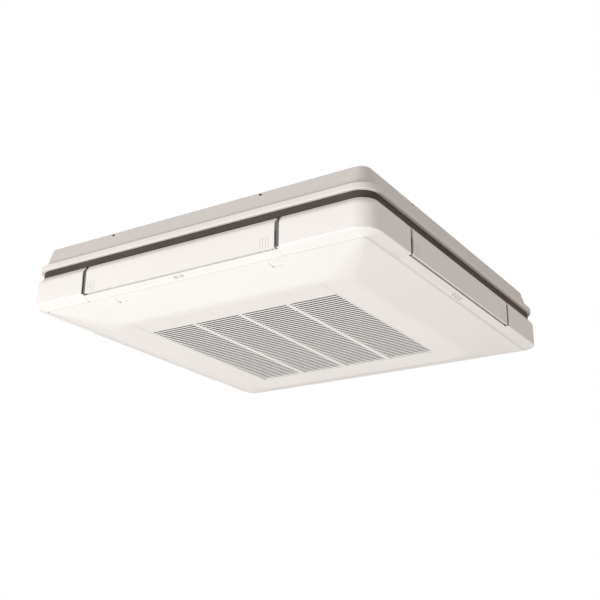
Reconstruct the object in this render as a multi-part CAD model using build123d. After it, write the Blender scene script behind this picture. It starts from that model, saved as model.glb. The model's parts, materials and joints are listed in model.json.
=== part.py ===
# Ceiling-suspended four-way cassette air conditioner, modelled hanging as it is used.
# Millimetres. +Z is up, z = 0 is the ceiling plane, the origin is the centre of the four hanger slots.
# The front is -Y, and the four sides are the same piece turned about Z: front, right (+X), back, left.
import os
from math import asin, atan2, cos, hypot, radians, sin, tan

from build123d import *

os.makedirs("parts", exist_ok=True)

# Overall, from the ceiling plane down
body_width = 950
shell_depth = 47.5          # top face to the ledge
ledge_depth = 14.5
recess_height = 17.5        # dark band between the ledge and the side walls
wall_height = 71
rim_drop = 9                # how far the sloping rim comes down
belly_drop = 28.5           # how far the suction panel hangs below the rim
sides = ("front", "right", "back", "left")

# Upper casing
sheet = 1.0
top_inset = 26.5
top_corner = 24
foot_inset = 11
foot_corner = 46
edge_notch = 8              # open notches in the shell's upper edge
edge_notch_spacing = 424
ledge_inset = 3
ledge_corner = 48
ledge_top_round = 1.5
ledge_lip_round = 2.5
ledge_wall = 12             # outer rail of the ledge, which carries the shell's foot
ledge_floor = 3
pocket_end_inset = 175      # from the side walls to the ends of the ledge's pockets
liner_cap = 20              # thickness of the foam over the coil
liner_side = 10
liner_depth = 61
bracket_margin = 34         # the foam stops this far short of the hanger slots' middle

# Hangers
hanger_inset = 75           # from the side walls to the hanger slots' middle
slot_width = 11
slot_length = 30
bracket_plate = 3
bracket_width = 60
bracket_reach = 48
bracket_foot = 18
screw_radius = 2.4
screw_head_radius = 4.5
screw_head_height = 3
screw_length = 11
screw_spacing = 36

# Side walls, rim and corner covers
wall_corner = 48
shoulder_inset = 10.5       # the walls' upper edge, in from their faces
shoulder_drop = 12.5        # from that edge down to the knee between slope and wall
shoulder_radius = 16.6      # rounding of the knee
cover_skin = 2.8
rim_inset = 32
rim_corner = 10
rim_skin = 3
rim_wall = 3                # upright behind the rim's inner edge
rim_edge_round = 3
rim_flap_gap = 5            # between a flap's inner face and the rim strip below it
joint_gap = 0.5             # seam between a corner cover and a rim strip
left_seam_lean = 10         # how far each seam leans over the rim's width
right_seam_lean = 4
seam_dot_radius = 1.5
mark_size = 9
mark_line = 1.6
mark_depth = 1.0
mark_spacing = 16

# Outlet flaps and their drive
flap_left_inset = 187       # from the corner to the flap's left end, seen from outside
flap_right_inset = 231      # and to its right end
flap_skin = 3
flap_overhang = 0.5         # how far a flap reaches below the corner covers
flap_seam = 12
flap_arm = 3
flap_arm_reach = 4.5        # behind the pivot
flap_arm_drop = 15          # below the pivot
pivot_inset = 17.5          # from the side walls to the flaps' pivots
pivot_drop = 16             # from the side walls' upper edge down to the pivots
flap_groove = 1.3
flap_groove_depth = 1.0
flap_groove_height = 26
flap_groove_rise = 16       # from the flap's lower edge to the grooves' middle
flap_groove_pitch = 7
flap_groove_count = 4
pivot_radius = 2.5
running_gap = 0.05
press_gap = 0.02
boss_radius = 6
boss_length = 16
end_play = 1
bearing_plate = 9.5
bearing_plate_inset = 4
motor_radius = 12
motor_length = 19
motor_bore_depth = 12

# Outlet frame and lower frame
duct_inset = 35             # outer face of the outlet frame's wall, in from the side walls
duct_wall = 6
duct_corner = 36
outlet_header = 3           # wall left above the outlet windows
band_inset = 11             # the dark band's face, in from the side walls
band_skin = 3
band_corner = 40
band_clearance = 0.75       # above the circle that a flap's shoulder turns in
outlet_margin = 20          # wall left beside each outlet window
outlet_sill = 5
lower_inset = 13            # outer edge of the lower frame, in from the side walls
lower_width = 62
lower_plate = 3
lower_rise = 9              # from the rim's lower edge up to the lower frame
lower_corner = 34
seat_gap = 0.3              # between pieces that sit on each other without a bond

# Suction panel
panel_gap = 1.2
panel_corner = 10
panel_skin = 3
panel_rim = 5
belly_width = 115.8         # from the panel's edge to its flat
flat_corner = 60
belly_radius = 80
belly_steps = 6
hinge_inset = 5.8           # from the panel's back edge to the hinge axis
hinge_rise = 2              # from the panel's edge up to the hinge axis
hinge_side_inset = 175      # from the side walls to the hinges
hinge_pin_radius = 1.5
ear_radius = 3.2
ear_width = 6
knuckle_length = 10
ear_clearance = 1.5

# Intake grille
slot_pitch = 12.1
slot_gap = 6.05
slot_columns = 4
column_rib = 11
grille_depth = 8            # of the grille's border and ribs
slat_thickness = 1.5
grille_margin = 3
grille_front_margin = 2     # from the panel's flat to the grille
grille_side_margin = 58.5
grille_back_margin = 68
slot_margin = 3             # from the last slot's pitch to the grille's back edge, at least
grille_gap = 0.6
grille_flange = 6
grille_flange_thickness = 2
badge_length = 111
badge_width = 44
badge_inset = 163           # from the grille's left edge to the plate's middle
badge_thickness = 1.2
badge_gap = 0.4
filter_bar = 8
filter_height = 6
filter_cross_bars = 4
filter_mesh_thickness = 1

# Latches
latch_side_inset = 259      # from the side walls to the latches
latch_back = 17.8           # from the panel's front edge to the middle of a latch's hole
latch_hole_width = 28
latch_hole_length = 21
latch_knob_length = 14
latch_clearance = 0.5
latch_body_width = 36
latch_lap = 1               # how far a latch's body reaches past its hole
latch_body_thickness = 2.7
latch_tongue_width = 14
latch_rail = 2.7
latch_rail_lip = 3
keeper_thickness = 2.2
keeper_width = 18
keeper_depth = 6.6
keeper_gap = 1.0            # from the keeper to the panel's upright edge

# Fan and its motor
fan_radius = 215
fan_hub_radius = 98
fan_cone_radius = 74
fan_top = 38
fan_cone_depth = 48
fan_skin = 3
fan_height = 83
fan_inlet_radius = 172
blade_count = 7
blade_inner_radius = 128
blade_thickness = 2.5
blade_sweep = 48            # degrees that a blade turns back between its two ends
hub_boss_radius = 20
hub_boss_length = 15
shaft_radius = 6
shaft_in_motor = 42         # length of shaft inside the motor
nut_radius = 11
nut_height = 9
motor_body_radius = 62
motor_body_height = 60
motor_nose_radius = 20
motor_nose_height = 4
mount_count = 3
mount_circle = 46
mount_radius = 9
mount_height = 17

# Bell mouth, drain pan and coil
throat_radius = 165
bell_radius = 26
bell_sheet = 2
bell_plate_lap = 15         # how far the plate reaches under the drain pan
bell_plate_corner = 30
pan_inset = 67              # from the side walls to the drain pan
pan_width = 78
pan_depth = 17
pan_floor = 8
pan_corner = 40
pan_channel_margin = 5
coil_inset = 80             # from the side walls to the coil
coil_thickness = 38
coil_corner = 80
pipe_corner_width = 125     # the corner that the coil leaves open for the pipes
end_plate = 1.5
bend_count = 4
bend_radius = 10
bend_tube_radius = 4
bend_spacing = 28
gas_pipe_radius = 7.94
liquid_pipe_radius = 4.76
gas_pipe_side_inset = 89    # pipes, pump and float: in from the coil's outer faces
gas_pipe_back_inset = 9
liquid_pipe_side_inset = 111
liquid_pipe_back_inset = 31
pipe_stub_radius = 3
pipe_stub_count = 3
pipe_bottom_rise = 8
gas_nose_radius = 11.1
liquid_nose_radius = 7.9
union_nose = 13
union_hex = 11
union_depth = 3             # how far each union and the drain socket stop below the ceiling plane
pipe_hole_gap = 4

# Drain pump, float and drain socket
pump_side_inset = 50
pump_back_inset = 57
pump_radius = 24
pump_height = 40
pump_foot_radius = 14
pump_foot_height = 14
pump_chamber_height = 12
pump_wall = 2
impeller_radius = 10
impeller_height = 4
impeller_rise = 4
impeller_shaft_radius = 1.5
impeller_shaft_length = 12
socket_body_radius = 15
socket_outer_radius = 13    # the nose that the drain hose goes over
socket_inner_radius = 10
socket_nose = 25
socket_reach = 60           # from the pump's middle to the socket's
spigot_radius = 8
float_setback = 28          # from the pump's middle to the float's
float_stem_radius = 3
float_radius = 10
float_height = 14
float_travel = 10
float_stop_radius = 6
float_stop = 2

# Electrical box and cable inlet
box_length = 380
box_width = 95
box_height = 18
box_sheet = 1.2
box_setback = 60            # from the bell mouth plate's edge to the box's front
board_thickness = 1.6
board_length = 260
board_width = 70
terminal_length = 60
terminal_width = 24
terminal_height = 12
grommet_side_inset = 240    # from the side walls to the cable inlet
grommet_back_inset = 75
grommet_radius = 14
grommet_bore = 9
grommet_flange = 3
grommet_depth = 5
clear = 60                  # length by which a cutting tool runs past what it cuts

# Planes and lines that several pieces share
body_half = body_width / 2
top_half = body_half - top_inset
foot_half = body_half - foot_inset
ledge_half = body_half - ledge_inset
ledge_top = -shell_depth
ledge_bottom = ledge_top - ledge_depth
wall_top = ledge_bottom - recess_height
cover_bottom = wall_top - wall_height
rim_bottom = cover_bottom - rim_drop
belly_bottom = rim_bottom - belly_drop
rim_half = body_half - rim_inset
duct_half = body_half - duct_inset
lower_half = body_half - lower_inset
lower_inner_half = lower_half - lower_width
hanger_at = body_half - hanger_inset
bracket_cut = hanger_at - bracket_margin
pocket_half_length = body_half - pocket_end_inset
rim_slope = rim_drop / rim_inset
shoulder_lean = atan2(shoulder_inset, shoulder_drop)
knee_z = wall_top - shoulder_drop
band_half = body_half - band_inset
pivot_y = -(body_half - pivot_inset)
pivot_z = wall_top - pivot_drop
flap_sweep = hypot(pivot_inset - shoulder_inset, pivot_drop)
band_flap_bottom = pivot_z + flap_sweep + band_clearance
flap_bottom = cover_bottom - flap_overhang
flap_left = flap_left_inset - body_half
flap_right = body_half - flap_right_inset
flap_middle = (flap_left + flap_right) / 2
lower_bottom = rim_bottom + lower_rise
lower_top = lower_bottom + lower_plate
pan_bottom = lower_top
pan_top = pan_bottom + pan_depth
channel_floor = pan_bottom + pan_floor
coil_bottom = channel_floor + seat_gap
coil_half = body_half - coil_inset
coil_inner_half = coil_half - coil_thickness
coil_end = coil_half - pipe_corner_width
pan_half = body_half - pan_inset
pan_inner_half = pan_half - pan_width
liner_bottom = -sheet - liner_cap
coil_top = liner_bottom - seat_gap
panel_half = rim_half - panel_gap
panel_top = rim_bottom + panel_rim
flat_half = panel_half - belly_width
hinge_y = panel_half - hinge_inset
hinge_z = rim_bottom + hinge_rise
hinge_spacing = body_width - 2 * hinge_side_inset
latch_spacing = body_width - 2 * latch_side_inset
belly_centre_z = belly_bottom + belly_radius
belly_run = panel_half - flat_half
belly_rise = belly_radius - belly_drop
belly_angle = asin(belly_radius / hypot(belly_run, belly_rise)) - atan2(belly_rise, belly_run)
grille_half = flat_half - grille_side_margin
grille_front = flat_half - grille_front_margin
grille_back = flat_half - grille_back_margin
column_length = (2 * (grille_half - grille_margin) - (slot_columns - 1) * column_rib) / slot_columns
slot_rows = int(2 * (grille_back - slot_margin) / slot_pitch)
badge_centre_x = badge_inset - grille_half
grille_top = belly_bottom + grille_depth
bell_plate_bottom = pan_bottom - bell_sheet
bell_plate_half = pan_inner_half + bell_plate_lap
box_front = bell_plate_half - box_setback
gas_pipe_x = gas_pipe_side_inset - coil_half
gas_pipe_y = coil_half - gas_pipe_back_inset
liquid_pipe_x = liquid_pipe_side_inset - coil_half
liquid_pipe_y = coil_half - liquid_pipe_back_inset
pump_x = pump_side_inset - coil_half
pump_y = coil_half - pump_back_inset
socket_y = pump_y + socket_reach
float_y = pump_y - float_setback
grommet_x = grommet_side_inset - body_half
grommet_y = body_half - grommet_back_inset
throat_top = bell_plate_bottom + bell_radius + bell_sheet
mount_bottom = -sheet - mount_height
motor_bottom = mount_bottom - motor_body_height
cone_bottom = -fan_top - fan_cone_depth
boss_bottom = cone_bottom - fan_skin - hub_boss_length
shroud_bottom = -fan_top - fan_height


def block(x0, x1, y0, y1, z0, z1):
    return Pos((x0 + x1) / 2, (y0 + y1) / 2, (z0 + z1) / 2) * Box(x1 - x0, y1 - y0, z1 - z0)


def square_block(half, corner, z0, z1):
    return extrude(Plane.XY.offset(z0) * RectangleRounded(2 * half, 2 * half, corner), z1 - z0)


def square_ring(outer, inner, corner, z0, z1):
    inner_corner = max(corner - (outer - inner), 2)
    return square_block(outer, corner, z0, z1) - square_block(inner, inner_corner, z0 - 1, z1 + 1)


def stepped_loft(levels):
    return loft([Plane.XY.offset(z) * RectangleRounded(2 * half, 2 * half, corner)
                 for z, half, corner in levels], ruled=True)


def upright(radius, x, y, z0, z1):
    return Pos(x, y, (z0 + z1) / 2) * Cylinder(radius, z1 - z0)


def rod_x(radius, x0, x1, y, z):
    return Pos((x0 + x1) / 2, y, z) * Rot(0, 90, 0) * Cylinder(radius, x1 - x0)


def rod_y(radius, y0, y1, x, z):
    return Pos(x, (y0 + y1) / 2, z) * Rot(90, 0, 0) * Cylinder(radius, y1 - y0)


def turned(shape, side):
    return Rot(0, 0, 90 * side) * shape


def save(shape, node):
    export_step(shape if isinstance(shape, Compound) else Compound(children=[shape]), f"parts/{node}.step")
    print(node, "solids", len(shape.solids()), "volume", round(shape.volume))


def save_group(shapes, node):
    group = Compound(children=[solid for shape in shapes for solid in shape.solids()])
    save(group, node)


# ---- upper casing ----

def hanger_slots(z0, z1):
    slots = []
    for x in (-hanger_at, hanger_at):
        for y in (-hanger_at, hanger_at):
            slot = Plane.XY.offset(z0) * Pos(x, y) * SlotOverall(slot_length, slot_width)
            slots.append(extrude(slot, z1 - z0))
    return slots


def make_top_shell():
    shell = stepped_loft([(0, top_half, top_corner), (ledge_top, foot_half, foot_corner)])
    shell -= stepped_loft([(-sheet, top_half - sheet, top_corner - sheet),
                           (ledge_top, foot_half - sheet, foot_corner - sheet)])
    for slot in hanger_slots(-clear, clear):
        shell -= slot
    shell -= upright(gas_nose_radius + pipe_hole_gap, gas_pipe_x, gas_pipe_y, -clear, clear)
    shell -= upright(liquid_nose_radius + pipe_hole_gap, liquid_pipe_x, liquid_pipe_y, -sheet - 1, 1)
    shell -= upright(socket_outer_radius + pipe_hole_gap, pump_x, socket_y, -sheet - 1, 1)
    shell -= upright(grommet_radius + press_gap, grommet_x, grommet_y, -sheet - 1, 1)
    for side in range(len(sides)):
        for step in (-1, 1):
            x = flap_middle + step * edge_notch_spacing / 2
            notch = block(x - edge_notch / 2, x + edge_notch / 2,
                          -top_half - clear, -top_half + 2 * sheet, -edge_notch, 1)
            shell -= turned(notch, side)
    return shell


def foot_screws():
    return [(sx * hanger_at + dx, sy * (hanger_at + bracket_reach - bracket_width / 4 + bracket_foot / 2))
            for sx in (-1, 1) for sy in (-1, 1) for dx in (-screw_spacing / 2, screw_spacing / 2)]


def make_upper_frame():
    frame = square_block(ledge_half, ledge_corner, ledge_bottom, ledge_top)
    frame = fillet(frame.edges().group_by(Axis.Z)[0], ledge_lip_round)
    frame = fillet(frame.edges().group_by(Axis.Z)[-1], ledge_top_round)
    inner_half = duct_half - duct_wall
    frame -= square_block(inner_half, duct_corner - duct_wall, ledge_bottom - 1, ledge_top + 1)
    for side in range(len(sides)):
        pocket = block(-pocket_half_length, pocket_half_length, -ledge_half + ledge_wall,
                       -inner_half - ledge_floor, ledge_bottom + ledge_floor, ledge_top + 1)
        frame -= turned(pocket, side)
    for x, y in foot_screws():
        frame -= upright(screw_radius + press_gap, x, y, ledge_top - screw_length - press_gap, ledge_top + 1)
    return frame


def make_foam_liner():
    outer_half = duct_half - duct_wall - 1
    liner = square_block(outer_half, duct_corner - duct_wall, -sheet - liner_depth, -sheet)
    liner -= square_block(outer_half - liner_side, duct_corner - duct_wall - liner_side,
                          -sheet - liner_depth - 1, liner_bottom)
    for sx in (-1, 1):
        for sy in (-1, 1):
            xs = sorted((sx * bracket_cut, sx * (outer_half + clear)))
            ys = sorted((sy * bracket_cut, sy * (outer_half + clear)))
            liner -= block(*xs, *ys, -sheet - liner_depth - 1, 1)
    pipe_edge = grommet_x + grommet_radius + grommet_flange + seat_gap
    pipe_low = pump_y - pump_radius
    liner -= block(-outer_half - clear, pipe_edge, pipe_low, outer_half + clear, -sheet - liner_depth - 1, 1)
    liner -= upright(motor_body_radius + 8, 0, 0, -sheet - liner_depth, 1)
    return liner


def make_hanger_brackets():
    brackets = []
    inner = hanger_at + bracket_reach - bracket_width / 4 - bracket_reach
    outer = inner + bracket_reach
    for sx in (-1, 1):
        for sy in (-1, 1):
            x0 = sx * hanger_at - bracket_width / 2
            x1 = sx * hanger_at + bracket_width / 2
            plate = block(x0, x1, *sorted((sy * inner, sy * outer)), -sheet - bracket_plate, -sheet)
            leg = block(x0, x1, *sorted((sy * (outer - bracket_plate), sy * outer)),
                        ledge_top, -sheet)
            foot = block(x0, x1, *sorted((sy * (outer - bracket_plate), sy * (outer + bracket_foot))),
                         ledge_top, ledge_top + bracket_plate)
            bracket = plate + leg + foot
            for slot in hanger_slots(-sheet - bracket_plate - 1, 0):
                bracket -= slot
            for x, y in foot_screws():
                bracket -= upright(screw_radius + press_gap, x, y, ledge_top - 1, ledge_top + bracket_plate + 1)
            brackets.append(bracket)
    return brackets


def make_hanger_screws():
    seat = ledge_top + bracket_plate
    return [upright(screw_radius, x, y, ledge_top - screw_length, seat)
            + upright(screw_head_radius, x, y, seat, seat + screw_head_height)
            for x, y in foot_screws()]


# ---- side walls, rim and corner covers ----

def wall_block(offset):
    # The side walls' block, every face moved in by the offset: upright wall, rounded knee, slope to the top.
    half = body_half - offset
    corner = wall_corner - offset
    knee = knee_z - offset * tan(shoulder_lean / 2)
    step = shoulder_inset + offset / cos(shoulder_lean) - offset
    body = stepped_loft([(cover_bottom, half, corner), (knee, half, corner), (wall_top, half - step, corner - step)])
    knee_edges = body.edges().filter_by_position(Axis.Z, knee - 0.01, knee + 0.01)
    return fillet(knee_edges, shoulder_radius - offset)


def make_skirt():
    outer = wall_block(0) + stepped_loft([(cover_bottom, body_half, wall_corner),
                                          (rim_bottom, rim_half, rim_corner)])
    outer = fillet([edge for edge in outer.edges().filter_by_position(
        Axis.Z, cover_bottom - 0.01, cover_bottom + 0.01)], rim_edge_round)
    inner = wall_block(cover_skin) + stepped_loft(
        [(cover_bottom, body_half - cover_skin, wall_corner - cover_skin),
         (rim_bottom + rim_skin, rim_half + rim_wall, rim_corner + rim_wall)])
    skirt = outer - inner
    upright_edge = square_ring(rim_half + rim_wall, rim_half, rim_corner + rim_wall, rim_bottom, lower_bottom)
    skirt += upright_edge
    skirt -= square_block(rim_half, rim_corner, rim_bottom - clear, wall_top + clear)
    return skirt


def plan_prism(points, z0, z1):
    return extrude(Plane.XY.offset(z0) * make_face(Polyline(*points, close=True)), z1 - z0)


def right_seam(y_out, y_in, shift):
    x = flap_right + flap_seam / 2
    return [(x + shift, y_out), (x + shift - right_seam_lean, y_in)]


def left_seam(y_out, y_in, shift):
    x = flap_left - flap_seam / 2
    return [(x + shift, y_out), (x + shift - left_seam_lean, y_in)]


def quarter_turn(points):
    return [(-y, x) for x, y in points]


def corner_mask():
    # The corner right of the front: from the front's right seam round to the right side's left seam.
    far = -body_half - 1
    front = right_seam(far, -rim_half + rim_wall, joint_gap / 2)
    side = quarter_turn(left_seam(far, -rim_half + rim_wall, -joint_gap / 2))
    inner = (rim_half - 3 * rim_wall, -rim_half + 3 * rim_wall)
    outer = (body_half + 1, far)
    return plan_prism([front[0], front[1], inner, side[1], side[0], outer], rim_bottom - 1, wall_top + 1)


def make_corner_cover(skirt):
    cover = skirt & corner_mask()
    # Above the rim the wall stands back from the flap by the whole seam.
    reach = body_half - rim_half
    over_front = block(flap_right - flap_seam, flap_right + flap_seam, -body_half - 1,
                       -body_half + reach, cover_bottom, wall_top + 1)
    over_side = block(flap_left - flap_seam, flap_left + flap_seam, -body_half - 1,
                      -body_half + reach, cover_bottom, wall_top + 1)
    return cover - over_front - turned(over_side, 1)


def rim_plane(x, y):
    # The rim's outer face under (x, y) on the front: x along the front, normal pointing out and down.
    z = cover_bottom - rim_slope * (body_half + y)
    return Plane(origin=(x, y, z), x_dir=(1, 0, 0), z_dir=(0, -rim_slope, -1))


def make_rim_strip(skirt, side):
    far = -body_half - 1
    inner_y = -rim_half + rim_wall
    outer_y = -body_half + flap_skin + rim_flap_gap
    left = left_seam(far, inner_y, joint_gap / 2)
    right = right_seam(far, inner_y, -joint_gap / 2)
    strip = skirt & plan_prism([*left, *right[::-1]], rim_bottom - 1, cover_bottom)
    strip &= block(-body_half, body_half, outer_y, 0, rim_bottom - 1, cover_bottom)
    dot_y = -rim_half - 2 * seam_dot_radius
    for x in (left[1][0] + 2 * seam_dot_radius, right[1][0] - 2 * seam_dot_radius):
        strip -= upright(seam_dot_radius, x, dot_y, rim_bottom - 1, rim_bottom + rim_drop)
    # As many small squares as the outlet's number, counted from the left side round.
    marks = (side + 1) % len(sides) + 1
    for mark in range(marks):
        x = flap_middle + (mark - (marks - 1) / 2) * mark_spacing
        hollow = mark_size - 2 * mark_line
        square = Rectangle(mark_size, mark_size) - Rectangle(hollow, hollow)
        place = rim_plane(x, -(rim_half + outer_y * -1) / 2)
        strip -= extrude(place * square, mark_depth, both=True)
    return strip


# ---- outlet flaps and their drive ----

def make_flap():
    x0, x1 = flap_left, flap_right
    face = -body_half
    flap = block(x0, x1, face, face + flap_skin, flap_bottom, cover_bottom + 1)
    flap += (wall_block(0) - wall_block(flap_skin)) & block(x0, x1, face, pivot_y, cover_bottom, wall_top)
    solid_wall = wall_block(flap_skin / 2)
    for left, right in ((x0, x0 + flap_arm), (x1 - flap_arm, x1)):
        flap += solid_wall & block(left, right, face, pivot_y + flap_arm_reach, pivot_z - flap_arm_drop, wall_top)
    flap += rod_x(boss_radius, x1 - boss_length, x1, pivot_y, pivot_z)
    flap -= rod_x(pivot_radius + press_gap, x1 - boss_length, x1 + 1, pivot_y, pivot_z)
    flap += rod_x(pivot_radius, x0 - end_play - bearing_plate, x0, pivot_y, pivot_z)
    middle_z = flap_bottom + flap_groove_rise
    for count in range(flap_groove_count):
        step = 2 * flap_groove_pitch + count * flap_groove_pitch
        for x in (x0 + step - flap_groove_pitch, x1 - step):
            flap -= block(x - flap_groove / 2, x + flap_groove / 2, face - 1, face + flap_groove_depth,
                          middle_z - flap_groove_height / 2, middle_z + flap_groove_height / 2)
    return flap


def make_flap_shaft():
    end = flap_right + end_play + bearing_plate + motor_bore_depth - 1
    return rod_x(pivot_radius, flap_right - boss_length + 1, end, pivot_y, pivot_z)


def make_flap_motor():
    face = flap_right + end_play + bearing_plate
    motor = rod_x(motor_radius, face, face + motor_length, pivot_y, pivot_z)
    return motor - rod_x(pivot_radius + running_gap, face - 1, face + motor_bore_depth, pivot_y, pivot_z)


def make_bearing_plates():
    # Each plate follows the side walls, a little inside them, and its upper end stands behind the dark band.
    behind_walls = wall_block(bearing_plate_inset)
    plates = []
    for left in (flap_left - end_play - bearing_plate, flap_right + end_play):
        right = left + bearing_plate
        plate = block(left, right, -band_half + band_skin, -duct_half, lower_top, ledge_bottom)
        plate += behind_walls & block(left, right, -body_half, -duct_half, lower_top, wall_top)
        plate += behind_walls & block(left, right, -body_half, -lower_half - seat_gap,
                                      cover_bottom + seat_gap, lower_top)
        plate -= rod_x(pivot_radius + running_gap, left - 1, right + 1, pivot_y, pivot_z)
        plates += [turned(plate, side) for side in range(len(sides))]
    return plates


# ---- outlet frame and lower frame ----

def make_outlet_frame():
    frame = square_ring(duct_half, duct_half - duct_wall, duct_corner, lower_top, ledge_bottom)
    window = block(flap_left + outlet_margin, flap_right - outlet_margin, -duct_half - 1,
                   -duct_half + duct_wall + 1, lower_top + outlet_sill, ledge_bottom - outlet_header)
    for side in range(len(sides)):
        frame -= turned(window, side)
    return frame


def make_shadow_band():
    band = square_ring(band_half, band_half - band_skin, band_corner, wall_top + seat_gap, ledge_bottom)
    over_flap = block(flap_left - flap_seam, flap_right + flap_seam, -band_half - 1,
                      -band_half + band_skin + 1, wall_top - 1, band_flap_bottom)
    for side in range(len(sides)):
        band -= turned(over_flap, side)
    return band


def make_lower_frame():
    frame = square_ring(lower_half, lower_inner_half, lower_corner, lower_bottom, lower_top)
    for x in (-hinge_spacing / 2, hinge_spacing / 2):
        frame += block(x - ear_width / 2, x + ear_width / 2, hinge_y - ear_radius, hinge_y + ear_radius,
                       hinge_z, lower_bottom)
        frame += rod_x(ear_radius, x - ear_width / 2, x + ear_width / 2, hinge_y, hinge_z)
        frame -= rod_x(hinge_pin_radius + press_gap, x - ear_width, x + ear_width, hinge_y, hinge_z)
    keeper_out = -(panel_half - panel_skin - keeper_gap)
    for x in (-latch_spacing / 2, latch_spacing / 2):
        frame += block(x - keeper_width / 2, x + keeper_width / 2, keeper_out,
                       keeper_out + keeper_thickness, lower_bottom - keeper_depth, lower_bottom)
    return frame


# ---- suction panel, grille and latches ----

def belly_levels(offset):
    # From the panel's edge to its flat: a straight slope, then an arc down to the flat.
    radius = belly_radius - offset
    arc_half = flat_half + radius * sin(belly_angle)
    arc_z = belly_centre_z - radius * cos(belly_angle)
    edge_half = panel_half - offset
    levels = [(arc_z + (edge_half - arc_half) * tan(belly_angle), edge_half)]
    for step in range(belly_steps + 1):
        angle = belly_angle * (1 - step / belly_steps)
        levels.append((belly_centre_z - radius * cos(angle), flat_half + radius * sin(angle)))
    full = []
    for z, half in levels:
        share = (edge_half - half) / (edge_half - flat_half)
        full.append((z, half, panel_corner - offset + share * (flat_corner - panel_corner)))
    return full


def slope_plane(x):
    # The front slope's outer face at a latch: x across, y down the slope towards the middle, z into the panel.
    y = -panel_half + latch_back
    z = rim_bottom - latch_back * tan(belly_angle)
    return Plane(origin=(x, y, z), x_dir=(1, 0, 0), z_dir=(0, sin(belly_angle), cos(belly_angle)))


def on_slope(x, x0, x1, y0, y1, z0, z1):
    box = Pos((x0 + x1) / 2, (y0 + y1) / 2, (z0 + z1) / 2) * Box(x1 - x0, y1 - y0, z1 - z0)
    return slope_plane(x) * box


def make_suction_panel():
    panel = stepped_loft(belly_levels(0)) + square_block(panel_half, panel_corner, rim_bottom, panel_top)
    inner = belly_levels(panel_skin)
    panel -= stepped_loft(inner)
    panel -= square_block(panel_half - panel_skin, panel_corner - panel_skin, inner[0][0], panel_top + 1)
    hole_half = grille_half + grille_gap
    panel -= block(-hole_half, hole_half, -grille_front - grille_gap, grille_back + grille_gap,
                   belly_bottom - 1, belly_bottom + panel_skin + 1)
    for x in (-hinge_spacing / 2, hinge_spacing / 2):
        gap = ear_width / 2 + ear_clearance
        for side in (-1, 1):
            x0, x1 = sorted((x + side * gap, x + side * (gap + knuckle_length)))
            panel += rod_x(ear_radius, x0, x1, hinge_y, hinge_z)
        panel -= block(x - gap, x + gap, hinge_y - ear_radius - ear_clearance, panel_half + 1,
                       belly_bottom, panel_top + 1)
        reach = gap + knuckle_length + 1
        panel -= rod_x(hinge_pin_radius + running_gap, x - reach, x + reach, hinge_y, hinge_z)
    rail_low = panel_skin - 0.5
    body_top = panel_skin + seat_gap + latch_body_thickness
    rail_out = latch_body_width / 2 + seat_gap + latch_rail
    for x in (-latch_spacing / 2, latch_spacing / 2):
        for side in (-1, 1):
            x0, x1 = sorted((side * (rail_out - latch_rail), side * rail_out))
            panel += on_slope(x, x0, x1, -latch_hole_length / 2, latch_hole_length / 2, rail_low,
                              body_top + seat_gap + latch_rail / 2)
            x0, x1 = sorted((side * (rail_out - latch_rail - latch_rail_lip), side * rail_out))
            panel += on_slope(x, x0, x1, -latch_hole_length / 2, latch_hole_length / 2,
                              body_top + seat_gap, body_top + seat_gap + latch_rail / 2)
        panel -= on_slope(x, -latch_hole_width / 2, latch_hole_width / 2, -latch_hole_length / 2,
                          latch_hole_length / 2, -1, panel_skin + seat_gap)
    return panel


def make_latch(x):
    start = -latch_hole_length / 2 + latch_clearance
    knob_end = start + latch_knob_length
    body_low = panel_skin + seat_gap
    body_top = body_low + latch_body_thickness
    knob_half = latch_hole_width / 2 - latch_clearance
    latch = on_slope(x, -knob_half, knob_half, start, knob_end, latch_clearance / 2, body_low)
    body_end = latch_hole_length / 2 + latch_lap
    latch += on_slope(x, -latch_body_width / 2, latch_body_width / 2, start, body_end, body_low, body_top)
    # The tongue stops just short of its keeper.
    keeper_face = -(panel_half - panel_skin - keeper_gap) + keeper_thickness
    low_corner_y = keeper_face + seat_gap - (-panel_half + latch_back) - body_low * sin(belly_angle)
    tongue_start = low_corner_y / cos(belly_angle)
    latch += on_slope(x, -latch_tongue_width / 2, latch_tongue_width / 2, tongue_start, start + 1,
                      body_low, body_top)
    return latch


def make_hinge_pins():
    reach = ear_width / 2 + ear_clearance + knuckle_length
    return [rod_x(hinge_pin_radius, x - reach, x + reach, hinge_y, hinge_z)
            for x in (-hinge_spacing / 2, hinge_spacing / 2)]


def make_intake_grille():
    grille = block(-grille_half, grille_half, -grille_front, grille_back, belly_bottom, grille_top)
    flange_low = belly_bottom + panel_skin
    grille += block(-grille_half - grille_flange, grille_half + grille_flange, -flat_half,
                    grille_back + grille_flange, flange_low, flange_low + grille_flange_thickness)
    columns = GridLocations(column_length + column_rib, 1, slot_columns, 1)
    field_length = (slot_rows - 1) * slot_pitch + slot_gap
    hollows = Sketch() + [place * Rectangle(column_length, field_length) for place in columns]
    grille -= extrude(Plane.XY.offset(belly_bottom + slat_thickness) * hollows, grille_depth)
    slots = GridLocations(column_length + column_rib, slot_pitch, slot_columns, slot_rows)
    field = Sketch() + [place * Rectangle(column_length, slot_gap) for place in slots]
    grille -= extrude(Plane.XY.offset(belly_bottom - 1) * field, grille_depth + 2)
    return grille - badge_block(badge_gap)


def badge_block(gap):
    centre_y = -grille_front + badge_gap + 1 + badge_width / 2
    return block(badge_centre_x - badge_length / 2 - gap, badge_centre_x + badge_length / 2 + gap,
                 centre_y - badge_width / 2 - gap, centre_y + badge_width / 2 + gap,
                 belly_bottom - (1 if gap else 0), belly_bottom + badge_thickness)


def filter_half_sizes():
    return grille_half + grille_flange, slot_rows * slot_pitch / 2 + filter_bar


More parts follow.
